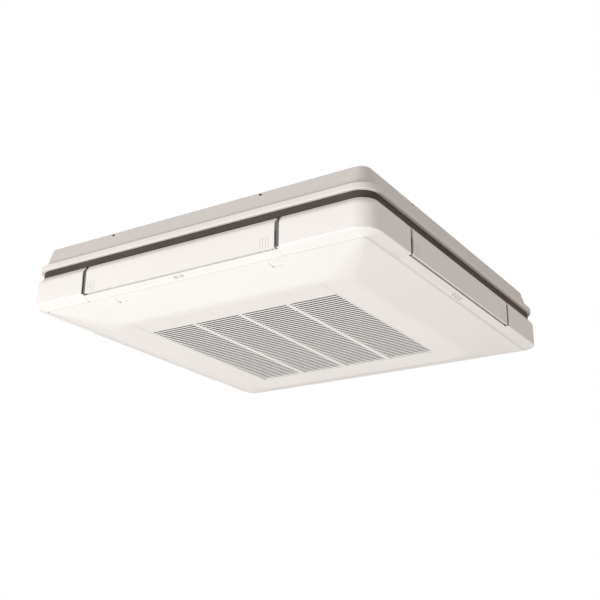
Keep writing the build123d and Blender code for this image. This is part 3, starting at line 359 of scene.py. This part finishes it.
# One finish for each material slot of the record.
finishes = {
    "white_plastic": plastic("whitePlastic", {
        "colour": (0.815, 0.792, 0.755), "darker": 0.975, "roughness": (0.40, 0.50),
        "cloudScale": 5, "glossScale": 14, "grainScale": 1500, "waveScale": 9,
        "grainHeight": 0.00003, "waveHeight": 0.0004,
    }),
    "ledge_plastic": plastic("ledgePlastic", {
        "colour": (0.72, 0.694, 0.658), "darker": 0.97, "roughness": (0.44, 0.54),
        "cloudScale": 6, "glossScale": 16, "grainScale": 1300, "waveScale": 10,
        "grainHeight": 0.00004, "waveHeight": 0.0004,
    }),
    "shell_paint": plastic("shellPaint", {
        "colour": (0.66, 0.632, 0.60), "darker": 0.965, "roughness": (0.38, 0.48),
        "cloudScale": 4, "glossScale": 10, "grainScale": 420, "waveScale": 7,
        "grainHeight": 0.00005, "waveHeight": 0.0006,
    }),
    # Also the shadow band's finish: that dark strip stands for the shaded recess between the ledge and the
    # wall, so on it this colour is painted shade.
    "dark_plastic": plastic("darkPlastic", {
        "colour": (0.080, 0.063, 0.054), "darker": 0.8, "roughness": (0.48, 0.62), "specular": 0.25,
        "cloudScale": 12, "glossScale": 20, "grainScale": 1200, "waveScale": 12,
        "grainHeight": 0.00005, "waveHeight": 0.0003,
    }),
    "bearing_plastic": plastic("bearingPlastic", {
        "colour": (0.17, 0.16, 0.152), "darker": 0.85, "roughness": (0.5, 0.64),
        "cloudScale": 30, "glossScale": 40, "grainScale": 1200, "waveScale": 30,
        "grainHeight": 0.00005, "waveHeight": 0.0002,
    }),
    "frame_plastic": plastic("framePlastic", {
        "colour": (0.60, 0.60, 0.585), "darker": 0.94, "roughness": (0.46, 0.6),
        "cloudScale": 9, "glossScale": 24, "grainScale": 1100, "waveScale": 14,
        "grainHeight": 0.00006, "waveHeight": 0.0004,
    }),
    "fan_plastic": plastic("fanPlastic", {
        "colour": (0.06, 0.061, 0.066), "darker": 0.72, "roughness": (0.34, 0.55),
        "cloudScale": 22, "glossScale": 40, "grainScale": 900, "waveScale": 16,
        "grainHeight": 0.00008, "waveHeight": 0.0004,
    }),
    "filter_plastic": plastic("filterPlastic", {
        "colour": (0.045, 0.049, 0.056), "darker": 0.8, "roughness": (0.42, 0.58),
        "cloudScale": 18, "glossScale": 30, "grainScale": 1200, "waveScale": 20,
        "grainHeight": 0.00005, "waveHeight": 0.0002,
    }),
    "filter_net": plastic("filterNet", {
        "colour": (0.022, 0.023, 0.026), "darker": 0.6, "roughness": (0.5, 0.75),
        "cloudScale": 60, "glossScale": 90, "grainScale": 2500, "waveScale": 40,
        "grainHeight": 0.00005, "waveHeight": 0.0002,
    }),
    "terminal_plastic": plastic("terminalPlastic", {
        "colour": (0.72, 0.70, 0.62), "darker": 0.92, "roughness": (0.35, 0.5),
        "cloudScale": 30, "glossScale": 50, "grainScale": 1600, "waveScale": 30,
        "grainHeight": 0.00004, "waveHeight": 0.0002,
    }),
    "rubber": plastic("rubber", {
        "colour": (0.028, 0.027, 0.027), "darker": 0.55, "roughness": (0.62, 0.85), "specular": 0.3,
        "cloudScale": 70, "glossScale": 50, "grainScale": 1400, "waveScale": 40,
        "grainHeight": 0.0001, "waveHeight": 0.0003,
    }),
    "motor_paint": plastic("motorPaint", {
        "colour": (0.085, 0.088, 0.094), "darker": 0.8, "roughness": (0.28, 0.42),
        "cloudScale": 25, "glossScale": 45, "grainScale": 600, "waveScale": 60,
        "grainHeight": 0.00012, "waveHeight": 0.0004,
    }),
    "bright_steel": metal("brightSteel", {
        "colour": (0.60, 0.60, 0.59), "tarnish": (0.42, 0.41, 0.39), "roughness": (0.2, 0.42),
        "metallic": 1.0, "stretch": (30, 400, 400), "lineScale": 6, "patchScale": 40, "lineHeight": 0.00003,
    }),
    "copper": metal("copper", {
        "colour": (0.72, 0.36, 0.22), "tarnish": (0.40, 0.17, 0.09), "roughness": (0.2, 0.45),
        "metallic": 1.0, "stretch": (300, 300, 20), "lineScale": 5, "patchScale": 35, "lineHeight": 0.00003,
    }),
    "brass": metal("brass", {
        "colour": (0.74, 0.56, 0.25), "tarnish": (0.46, 0.32, 0.12), "roughness": (0.18, 0.38),
        "metallic": 1.0, "stretch": (20, 20, 500), "lineScale": 6, "patchScale": 60, "lineHeight": 0.00003,
    }),
    "fin_aluminium": metal("finAluminium", {
        "colour": (0.74, 0.75, 0.76), "tarnish": (0.52, 0.52, 0.52), "roughness": (0.28, 0.5),
        "metallic": 0.9, "stretch": (60, 60, 8), "lineScale": 8, "patchScale": 30, "lineHeight": 0.00005,
    }),
    "galvanised_steel": zincSheet("galvanised", {
        "colour": (0.46, 0.47, 0.48), "dark": (0.33, 0.34, 0.36), "light": (0.60, 0.61, 0.61),
        "crystalScale": 85, "roughness": (0.3, 0.52), "metallic": 0.85, "bloomHeight": 0.00008,
        "bloom": (0.66, 0.67, 0.66), "bloomScale": 35, "bloomRange": (0.52, 0.74), "bloomCover": 0.5,
    }),
    "foam": beadFoam("foam", {
        "colour": (0.80, 0.80, 0.78), "darker": 0.95, "roughness": 0.85,
        "beadScale": 260, "beadHeight": 0.0006, "jointTone": 0.78, "jointWidth": 0.12,
    }),
    "board": printedBoard("board", {
        "colour": (0.012, 0.11, 0.045), "darker": 0.8, "roughness": 0.32,
        "track": (0.03, 0.22, 0.09), "trackScale": 95, "trackWidth": 0.035, "trackSoftness": 0.1,
        "trackShift": 0.37, "trackHeight": 0.0001,
        "pad": (0.55, 0.56, 0.55), "padScale": 160, "padRadii": (0.13, 0.16),
    }),
}
print("materials made")


# The camera fitted to the photograph: its place, and the directions of its own axes.
photoCamera = {
    "position": (1.34195, -2.10106, -0.98855),
    "right": (0.84600054, 0.53310909, 0.00881887),
    "up": (0.17706892, -0.29651836, 0.93846868),
    "back": (0.50292114, -0.79238346, -0.34525175),
    "lens": 61.3967,
    "sensor": 36,
}


def makeCamera():
    data = bpy.data.cameras.new("photoCamera")
    data.sensor_fit = "HORIZONTAL"
    data.sensor_width = photoCamera["sensor"]
    data.lens = photoCamera["lens"]
    camera = bpy.data.objects.new("photoCamera", data)
    columns = [photoCamera["right"], photoCamera["up"], photoCamera["back"], photoCamera["position"]]
    camera.matrix_world = Matrix([[column[row] for column in columns] for row in range(3)] + [[0, 0, 0, 1]])
    bpy.context.scene.collection.objects.link(camera)
    bpy.context.scene.camera = camera


studio = {
    "ambient": 0.635, "ambientColour": (1.0, 0.93, 0.903),
    "keyPlace": (-2.6, -6.9, -5.1), "keySize": (3.6, 2.6), "keyPower": 560, "keyColour": (0.93, 0.965, 1.0),
    "bouncePlace": (-0.3, -0.4, -5.5), "bounceSize": (3.4, 3.4), "bouncePower": 36, "bounceColour": (1, 1, 1),
    "target": (0, 0, -0.12),
    "floorHeight": -6.5, "floorSize": 14, "floorLines": 9, "floorScale": 3, "floorRoughness": 0.8,
    "floorDark": (0.79, 0.785, 0.78), "floorLight": (0.81, 0.805, 0.80),
}


def makeWorld():
    # Camera and transmission rays see white; every other ray meets the dimmer ambient colour.
    world = bpy.data.worlds.new("studio")
    bpy.context.scene.world = world
    world.use_nodes = True
    tree = world.node_tree
    background = tree.nodes["Background"]
    path = addNode(tree, "ShaderNodeLightPath").outputs
    seen = addNode(tree, "ShaderNodeMath", {0: path["Is Camera Ray"], 1: path["Is Transmission Ray"]},
                   operation="MAXIMUM").outputs[0]
    strength = addNode(tree, "ShaderNodeMapRange", {
        "Value": seen, "To Min": studio["ambient"], "To Max": 1.0})
    tree.links.new(strength.outputs["Result"], background.inputs["Strength"])
    colour = addNode(tree, "ShaderNodeMix", {"Factor": seen}, data_type="RGBA")
    colour.inputs["A"].default_value = (*studio["ambientColour"], 1)
    colour.inputs["B"].default_value = (1, 1, 1, 1)
    tree.links.new(colour.outputs["Result"], background.inputs["Color"])


def makeLamps():
    for name in ("key", "bounce"):
        data = bpy.data.lights.new(name, "AREA")
        data.shape = "RECTANGLE"
        data.size, data.size_y = studio[name + "Size"]
        data.energy = studio[name + "Power"]
        data.color = studio[name + "Colour"]
        lamp = bpy.data.objects.new(name, data)
        place = Vector(studio[name + "Place"])
        turn = (Vector(studio["target"]) - place).to_track_quat("-Z", "Y").to_matrix().to_4x4()
        lamp.matrix_world = Matrix.Translation(place) @ turn
        bpy.context.scene.collection.objects.link(lamp)


def makeFloor():
    # A level grid of points at the floor's height.
    spots = np.linspace(-studio["floorSize"], studio["floorSize"], studio["floorLines"])
    across, along = np.meshgrid(spots, spots, indexing="ij")
    points = np.stack([across, along, np.full_like(across, studio["floorHeight"])], axis=-1)
    mesh = meshFrom("floor", [gridPart(points)])
    material, tree, shader, place = startMaterial("paleFloor")
    clouds = noise(tree, place, studio["floorScale"], detail=3)
    start, end = noiseRange
    tone = ramp(tree, clouds, [(start, studio["floorDark"]), (end, studio["floorLight"])])
    tree.links.new(tone, shader.inputs["Base Color"])
    shader.inputs["Roughness"].default_value = studio["floorRoughness"]
    mesh.materials.append(material)
    floor = bpy.data.objects.new("floor", mesh)
    bpy.context.scene.collection.objects.link(floor)


makeCamera()
makeWorld()
makeLamps()
makeFloor()
bpy.context.scene.view_settings.view_transform = "Standard"
print("camera and studio made")


# The outer pieces are the CAD's own; each number is the width of the rounded edges.
outerPieces = {
    "cornerCover": 0.0004, "rimStrip": 0.00025, "outletFlap": 0.0003, "suctionPanel": 0.0003,
    "ledge": 0.0003, "topShell": 0.0003, "badgePlate": 0.0003,
}

for corner in cornerNames:
    refineNode(f"corner_cover_{corner}", f"cornerCover_{corner}", outerPieces["cornerCover"])
for side in sideNames:
    refineNode(f"rim_strip_{side}", f"rimStrip_{side}", outerPieces["rimStrip"])
    refineNode(f"flap_{side}", f"outletFlap_{side}", outerPieces["outletFlap"])
refineNode("suction_panel", "suctionPanel", outerPieces["suctionPanel"])
refineNode("upper_frame", "ledge", outerPieces["ledge"])
refineNode("top_shell", "topShell", outerPieces["topShell"])
print("outer pieces made")


# The numbers are those of the front's wall.
upstand = {
    "left": -0.287, "right": 0.243, "outer": -0.467, "inner": -0.4648, "low": -0.1505, "high": -0.144,
}


def makeUpstands():
    # A thin wall on the outer edge of each rim strip, behind the flap. The front's wall is a bar from its
    # left end to its right end, and the others are the same bar after one, two and three quarter turns.
    middle = (upstand["outer"] + upstand["inner"]) / 2
    level = (upstand["low"] + upstand["high"]) / 2
    start, end = (np.array([(x, middle, level)]) for x in (upstand["left"], upstand["right"]))
    across = np.array([(0, upstand["inner"] - upstand["outer"], 0)]) / 2
    over = np.array([(0, 0, upstand["high"] - upstand["low"])]) / 2
    walls = []
    for side in range(len(sideNames)):
        turn = turning(side * pi / 2)
        walls.append(bars(start @ turn, end @ turn, across @ turn, over))
    mesh = meshFrom("rimUpstands", walls, sharpAngle=50)
    addPiece("rimUpstands", mesh, "casing", "white_plastic")


makeUpstands()
print("upstands made")


# The counts go round from the front; the places are those on the front's rim.
rimMark = {
    "size": 0.009, "line": 0.0015, "spacing": 0.016, "counts": (2, 3, 4, 1), "rowMiddle": -0.022,
    "squareMiddle": -0.455, "rimEdge": -0.475, "rimTop": -0.1505, "slope": 0.28125, "depth": 0.0006,
    "thickness": 0.0004,
}


def makeMarks():
    # Grey lines in the small squares of the rim. A square's middle lies on the rim's slope, where height =
    # top - slope times the way in from the edge; two bars run along the rim and two down the slope.
    slant = np.hypot(1, rimMark["slope"])
    down = np.array((0, 1, -rimMark["slope"])) / slant
    out = np.array((0, -rimMark["slope"], -1)) / slant
    along = np.array((1.0, 0, 0))
    height = rimMark["rimTop"] - rimMark["slope"] * (rimMark["squareMiddle"] - rimMark["rimEdge"])
    half, thin = rimMark["size"] / 2, rimMark["line"] / 2
    lines = []
    for side, count in enumerate(rimMark["counts"]):
        turn = turning(side * pi / 2)
        over = np.tile(out * rimMark["thickness"] / 2, (2, 1)) @ turn
        for spot in rimMark["rowMiddle"] + (np.arange(count) - (count - 1) / 2) * rimMark["spacing"]:
            place = np.array((spot, rimMark["squareMiddle"], height)) - out * rimMark["depth"]
            for run, aside, reach in ((along, down, half), (down, along, half - 2 * thin)):
                shift = np.array([-aside, aside]) * (half - thin)
                start, end = ((place + shift + way * reach * run) @ turn for way in (-1, 1))
                lines.append(bars(start, end, np.tile(aside * thin, (2, 1)) @ turn, over))
    mesh = meshFrom("rimMarks", lines, sharpAngle=50)
    addPiece("rimMarks", mesh, "casing", "bearing_plastic")


makeMarks()
print("marks made")


grille = {
    "half": 0.2675, "front": -0.324, "back": 0.258, "low": -0.188, "depth": 0.008,
    "rows": 42, "pitch": 0.0121, "slot": 0.0068, "columns": 4, "rib": 0.011, "margin": 0.003,
    "slatThickness": 0.0012, "slatRise": 0.0001, "slatPoints": 16, "slatLap": 0.001, "slatPowers": (0.4, 0.7),
    "flange": 0.006, "flangeLow": -0.185, "flangeThickness": 0.002, "panelFlat": -0.326,
    "plateLength": 0.111, "plateWidth": 0.044, "plateMiddle": -0.1045, "plateInset": 0.001,
    "plateGap": 0.0004, "plateThickness": 0.0012, "edge": 0.0005,
}


def slotColumns():
    # The left and right end of each column of slots.
    reach = grille["half"] - grille["margin"]
    length = (2 * reach - (grille["columns"] - 1) * grille["rib"]) / grille["columns"]
    left = -reach + np.arange(grille["columns"]) * (length + grille["rib"])
    return left, left + length


def slotRows():
    # The middle of each row of slots.
    return (np.arange(grille["rows"]) - (grille["rows"] - 1) / 2) * grille["pitch"]


def platePocket():
    # The ends of the plate's pocket, across and along.
    across = grille["plateLength"] / 2 + grille["plateGap"]
    along = grille["plateWidth"] + 2 * grille["plateGap"]
    front = grille["front"] + grille["plateInset"]
    return grille["plateMiddle"] + np.array((-across, across)), front + np.array((0, along))


def grilleBorder():
    # A grated plate that is open in each column, from the first row of slots to the last, and in the pocket.
    left, right = slotColumns()
    fieldEnd = slotRows()[-1] + grille["slot"] / 2
    pocketX, pocketY = platePocket()
    edgesX = (-grille["half"], grille["half"])
    edgesY = (grille["front"], -fieldEnd, fieldEnd, grille["back"])
    xs = np.unique(np.round(np.concatenate([edgesX, left, right, pocketX]), 7))
    ys = np.unique(np.round(np.concatenate([edgesY, pocketY]), 7))
    middleX, middleY = (xs[1:] + xs[:-1]) / 2, (ys[1:] + ys[:-1]) / 2
    inColumn = ((middleX[:, None] > left) & (middleX[:, None] < right)).any(1)
    inField = np.abs(middleY) < fieldEnd
    acrossPocket = (middleX > pocketX[0]) & (middleX < pocketX[1])
    alongPocket = (middleY > pocketY[0]) & (middleY < pocketY[1])
    solid = ~(inColumn[:, None] & inField) & ~(acrossPocket[:, None] & alongPocket)
    return gratedPlate(xs, ys, solid, grille["low"], grille["low"] + grille["depth"])


def grilleSlats():
    # A slat between each two rows of slots, with a flattened round for its section:
    # across = sign(cos) |cos| to the first power, height = sign(sin) |sin| to the second.
    angle = np.linspace(0, 2 * pi, grille["slatPoints"], endpoint=False) + pi / grille["slatPoints"]
    acrossPower, heightPower = grille["slatPowers"]
    section = np.stack([np.sign(np.cos(angle)) * np.abs(np.cos(angle)) ** acrossPower,
                        np.sign(np.sin(angle)) * np.abs(np.sin(angle)) ** heightPower], -1)
    section /= np.abs(section).max(0)
    rows = slotRows()
    middle = (rows[1:] + rows[:-1]) / 2
    thin = grille["slatThickness"] / 2
    level = np.full_like(middle, grille["low"] + grille["slatRise"] + thin)
    reach = np.full_like(middle, grille["half"] - grille["margin"] + grille["slatLap"])
    across = np.tile((0, (grille["pitch"] - grille["slot"]) / 2, 0), (len(middle), 1))
    over = np.tile((0, 0, thin), (len(middle), 1))
    start, end = (np.stack([way * reach, middle, level], -1) for way in (-1, 1))
    return bars(start, end, across, over, section)


def pocketFloor():
    # The block that closes the pocket above the plate.
    pocketX, pocketY = platePocket()
    level = grille["low"] + (grille["depth"] + grille["plateThickness"]) / 2
    middle = np.array([(pocketX.mean(), pocketY.mean(), level)])
    reach = np.array([(pocketX[1] - pocketX[0], 0, 0)]) / 2
    across = np.array([(0, pocketY[1] - pocketY[0], 0)]) / 2
    over = np.array([(0, 0, grille["depth"] - grille["plateThickness"])]) / 2
    return bars(middle - reach, middle + reach, across, over)


def grilleFlange():
    # A thin ring around the grille, on the inside of the panel.
    half, wide = grille["half"], grille["flange"]
    xs = np.array((-half - wide, -half, half, half + wide))
    ys = np.array((grille["panelFlat"], grille["front"], grille["back"], grille["back"] + wide))
    ring = np.ones((3, 3), bool)
    ring[1, 1] = False
    low = grille["flangeLow"]
    return gratedPlate(xs, ys, ring, low, low + grille["flangeThickness"])


def makeGrille():
    parts = [grilleBorder(), grilleSlats(), pocketFloor(), grilleFlange()]
    mesh = meshFrom("intakeGrille", parts, sharpAngle=50)
    piece = addPiece("intakeGrille", mesh, "door", "white_plastic", ("intake_grille",))
    roundEdges(piece, grille["edge"], angle=60)


makeGrille()
refineNode("badge_plate", "badgePlate", outerPieces["badgePlate"])


net = {
    "halfX": 0.2655, "halfY": 0.2541, "height": -0.1765, "pitch": 0.0026, "strandHalf": 0.0004,
    "weave": 0.0004,
}


def strands(reach, span, height):
    # Bars along x, from minus reach to reach, at every pitch across twice the span.
    count = int(2 * span / net["pitch"])
    offset = (np.arange(count) - (count - 1) / 2) * net["pitch"]
    end = np.stack([np.full(count, reach), offset, np.full(count, height)], -1)
    across, over = (np.tile(np.array(way) * net["strandHalf"], (count, 1)) for way in ((0, 1, 0), (0, 0, 1)))
    return bars(end * (-1, 1, 1), end, across, over)


def makeNet():
    # Strands both ways. Those along y are made along x and trade x for y; they lie twice the weave higher.
    alongX = strands(net["halfX"], net["halfY"], net["height"] - net["weave"])
    points, faces = strands(net["halfY"], net["halfX"], net["height"] + net["weave"])
    mesh = meshFrom("filterNet", [alongX, (points[:, (1, 0, 2)], faces)], sharpAngle=60)
    addPiece("filterNet", mesh, "door", "filter_net", ("filter_mesh",))


makeNet()
print("grille and filter made")


coil = {
    "outer": 0.395, "inner": 0.357, "corner": 0.080, "end": 0.270, "low": -0.1392, "high": -0.0213,
    "finPitch": 0.0022, "finThickness": 0.00016, "tubeRadius": 0.0045, "tubeRows": 5, "tubeColumns": 2,
    "edgeWave": 0.0006, "waveRate": 290, "cornerSteps": 24, "tubeSteps": 160, "tubeAround": 12,
}


def coilPath():
    # The middle line of the coil from the back round to the left side, as places and outward directions:
    # straights joined by corners where point = corner centre + radius times (cos(angle), sin(angle)).
    middle = (coil["outer"] + coil["inner"]) / 2
    radius = coil["corner"] - (coil["outer"] - coil["inner"]) / 2
    angle = np.linspace(pi / 2, 0, coil["cornerSteps"])
    ring = []
    for turn, corner in enumerate(((1, 1), (1, -1), (-1, -1))):
        turned = angle - turn * pi / 2
        away = np.stack([np.cos(turned), np.sin(turned)], -1)
        ring.append(np.concatenate([(middle - radius) * np.array(corner) + radius * away, away], 1))
    first = np.array([(-coil["end"], middle, 0, 1)])
    last = np.array([(-middle, coil["end"], -1, 0)])
    return np.concatenate([first, *ring, last])


def alongCoil(spots, stations):
    # Places and outward directions at given lengths along the path, each between its two nearest stations.
    steps = np.hypot(*np.diff(stations[:, :2], axis=0).T)
    length = np.concatenate([[0], np.cumsum(steps)])
    found = np.stack([np.interp(spots, length, column) for column in stations.T], -1)
    away = found[:, 2:] / np.hypot(*found[:, 2:].T)[:, None]
    flat = np.zeros((len(spots), 1))
    return np.hstack([found[:, :2], flat]), np.hstack([away, flat])


def makeCoil():
    # A fin is a thin upright bar across the path. Fins that were pressed a little are shorter: half their
    # length = reach - edge wave |sin(wave rate times place)|. A tube follows the path at its row's height.
    stations = coilPath()
    total = np.hypot(*np.diff(stations[:, :2], axis=0).T).sum()
    height = coil["high"] - coil["low"]
    count = int(total / coil["finPitch"])
    spots = (np.arange(count) + 0.5) * total / count
    place, away = alongCoil(spots, stations)
    reach = (coil["outer"] - coil["inner"]) / 2
    wave = coil["edgeWave"] * np.abs(np.sin(spots * coil["waveRate"]))[:, None]
    up = np.array((0, 0, 1.0))
    level = up * (coil["low"] + coil["high"]) / 2
    along = np.stack([away[:, 1], -away[:, 0], away[:, 2]], -1) * coil["finThickness"] / 2
    tall = np.broadcast_to(up * height / 2, place.shape)
    start, end = (place + way * away * (reach - wave) + level for way in (-1, 1))
    parts = [bars(start, end, along, tall)]
    place, away = alongCoil(np.linspace(0, total, coil["tubeSteps"]), stations)
    for row in range(coil["tubeRows"]):
        level = coil["low"] + height * (row + 0.5) / coil["tubeRows"]
        for column in range(coil["tubeColumns"]):
            aside = (column - (coil["tubeColumns"] - 1) / 2) * reach
            path = place + away * aside + up * level
            parts.append(tube(path, away, coil["tubeRadius"], coil["tubeAround"]))
    mesh = meshFrom("finPack", parts, sharpAngle=40)
    addPiece("finPack", mesh, "casing", "fin_aluminium", ("heat_exchanger",))


makeCoil()
print("heat exchanger made")


# The sweep and the twist of the blades are in degrees.
fan = {
    "radius": 0.215, "top": -0.038, "low": -0.121, "skin": 0.003, "hubRadius": 0.098, "coneRadius": 0.074,
    "coneLow": -0.086, "bossRadius": 0.020, "bossLow": -0.104, "boreRadius": 0.00604, "bend": 0.001,
    "inlet": 0.172, "lip": 0.008, "lipPoints": 9, "around": 120,
    "blades": 7, "bladeInner": 0.112, "bladeInnerLow": 0.150, "bladeOuter": 0.213, "sweep": 48, "twist": 7,
    "thickness": 0.0026, "edgeShare": 0.35, "tip": 0.02, "bladeColumns": 26, "bladeRows": 10,
    "ribs": 12, "ribWidth": 0.0018, "ribHeight": 0.007, "ribDrop": 0.003, "ribGap": 0.003, "ribStart": 0.95,
}


def hubPart():
    # The hub goes once round: its profile runs in along the upper face, down the cone and the bore, and back
    # along the lower face. The points of a bend stand a few times the bend's length apart.
    top, floor, end, skin, bend = (fan[key] for key in ("top", "coneLow", "bossLow", "skin", "bend"))
    rim, hub, cone = fan["radius"], fan["hubRadius"], fan["coneRadius"]
    boss, bore = fan["bossRadius"], fan["boreRadius"]
    profile = [(rim, top), (hub + 6 * bend, top), (hub, top - 1.5 * bend), (hub - 2.5 * bend, top - 6 * bend),
               (cone + 2.5 * bend, floor + 6 * bend), (cone - 4 * bend, floor), (bore, floor), (bore, end),
               (boss - bend, end), (boss, end + bend), (boss, floor - skin - 3 * bend),
               (boss + 3 * bend, floor - skin), (cone - 2 * bend, floor - skin),
               (cone + skin + bend, floor + bend), (hub + 2 * bend, top - skin - 4 * bend),
               (hub + 8 * bend, top - skin), (rim, top - skin)]
    return revolved(profile, fan["around"])


def shroudPart():
    # The shroud's inlet lip is a quarter circle: radius = inlet + lip (1 - cos),
    # height = low + lip (1 - sin).
    angle = np.linspace(0, pi / 2, fan["lipPoints"])
    inlet, low, skin = fan["inlet"], fan["low"], fan["skin"]
    sides = []
    for offset, lip in ((0, fan["lip"]), (skin, fan["lip"] - skin)):
        sides.append(np.stack([inlet + offset + lip * (1 - np.cos(angle)),
                               low + offset + lip * (1 - np.sin(angle))], -1))
    rim = [(fan["radius"], low), (fan["radius"], low + skin)]
    return revolved(np.concatenate([sides[0], rim, sides[1][::-1]]), fan["around"])


def bladeParts():
    # A blade's middle surface: the radius runs from the inner edge, which slants outwards towards the shroud,
    # to the rim, and angle = twist (1 - height share) (1 - share) - sweep share. Half the thickness lies on
    # each side: half = thickness / 2 times (edge share + (1 - edge share) root of sin(pi share)).
    skin, edge, tip = fan["skin"], fan["edgeShare"], fan["tip"]
    share = np.linspace(0, 1, fan["bladeColumns"])[:, None]
    rise = np.linspace(0, 1, fan["bladeRows"])[None]
    innerEdge = fan["bladeInnerLow"] + (fan["bladeInner"] - fan["bladeInnerLow"]) * rise
    radius = innerEdge + share * (fan["bladeOuter"] - innerEdge)
    angle = -radians(fan["sweep"]) * share + radians(fan["twist"]) * (1 - rise) * (1 - share)
    height = fan["low"] + skin / 2 + rise * (fan["top"] - skin - fan["low"]) + 0 * share
    swell = np.sqrt(np.sin(pi * np.clip(share, tip, 1 - tip)))
    thin = fan["thickness"] / 2 * (edge + (1 - edge) * swell) / radius
    faces = [np.stack([radius * np.cos(angle + way * thin), radius * np.sin(angle + way * thin), height], -1)
             for way in (-1, 1)]
    loop = np.concatenate([faces[0], faces[1][::-1]])
    parts = []
    for count in range(fan["blades"]):
        turned = loop @ turning(2 * pi * count / fan["blades"])
        parts.append(gridPart(turned.transpose(1, 0, 2), wrapV=True, capped=True))
    return parts


def ribPart():
    # Ribs under the cone join the boss to it: bars along (cos(angle), sin(angle)).
    angle = 2 * pi * np.arange(fan["ribs"]) / fan["ribs"]
    away = np.stack([np.cos(angle), np.sin(angle), 0 * angle], -1)
    level = np.array((0, 0, fan["coneLow"] - fan["skin"] - fan["ribDrop"]))
    aside = np.stack([-np.sin(angle), np.cos(angle), 0 * angle], -1) * fan["ribWidth"] / 2
    up = np.tile((0, 0, fan["ribHeight"] / 2), (len(angle), 1))
    start = away * fan["bossRadius"] * fan["ribStart"] + level
    return bars(start, away * (fan["coneRadius"] - fan["ribGap"]) + level, aside, up)


def makeFanWheel():
    parts = [hubPart(), shroudPart(), *bladeParts(), ribPart()]
    mesh = meshFrom("fanWheel", parts, sharpAngle=30)
    addPiece("fanWheel", mesh, "fan", "fan_plastic", ("fan_wheel",))


makeFanWheel()
print("fan wheel made")


# The inner pieces are the CAD's own too; each number is the width of its rounded edges.
innerPieces = {
    "outlet_frame": 0.0004, "shadow_band": 0.0003, "lower_frame": 0.0004, "bell_mouth": 0.0003,
    "drain_pan": 0.001, "foam_liner": 0.0015, "hanger_brackets": 0.0006, "hanger_screws": 0.0005,
    "fan_motor": 0.0012, "motor_mounts": 0.0012, "hub_nut": 0.0006, "control_box": 0.0003,
    "control_box_lid": 0.0003, "circuit_board": 0.0002, "terminal_block": 0.0006, "cable_grommet": 0.0006,
    "drain_pump": 0.0008, "drain_socket": 0.0006, "drain_float": 0.0008, "float_guide": 0.0004,
    "flare_unions": 0.0006, "gas_pipe": 0, "liquid_pipe": 0, "coil_bends": 0, "coil_end_plates": 0.0002,
    "filter_frame": 0.0006, "latch_left": 0.0003, "latch_right": 0.0003, "flap_bearing_plates": 0.0003,
    **{f"flap_motor_{side}": 0.0008 for side in sideNames},
}


def camelCase(node):
    first, *rest = node.split("_")
    return first + "".join(word.capitalize() for word in rest)


for node, width in innerPieces.items():
    refineNode(node, camelCase(node), width)
print("inner pieces made")


# CAD nodes that no piece replaces stay as they are and get their finish here.
for node, piece in frame["nodes"].items():
    if piece.hide_render:
        continue
    if not piece.material_slots:
        piece.data.materials.append(finishes[slotOf[node]])
    for place in piece.material_slots:
        place.material = finishes[slotOf[node]]
print("finishes set")
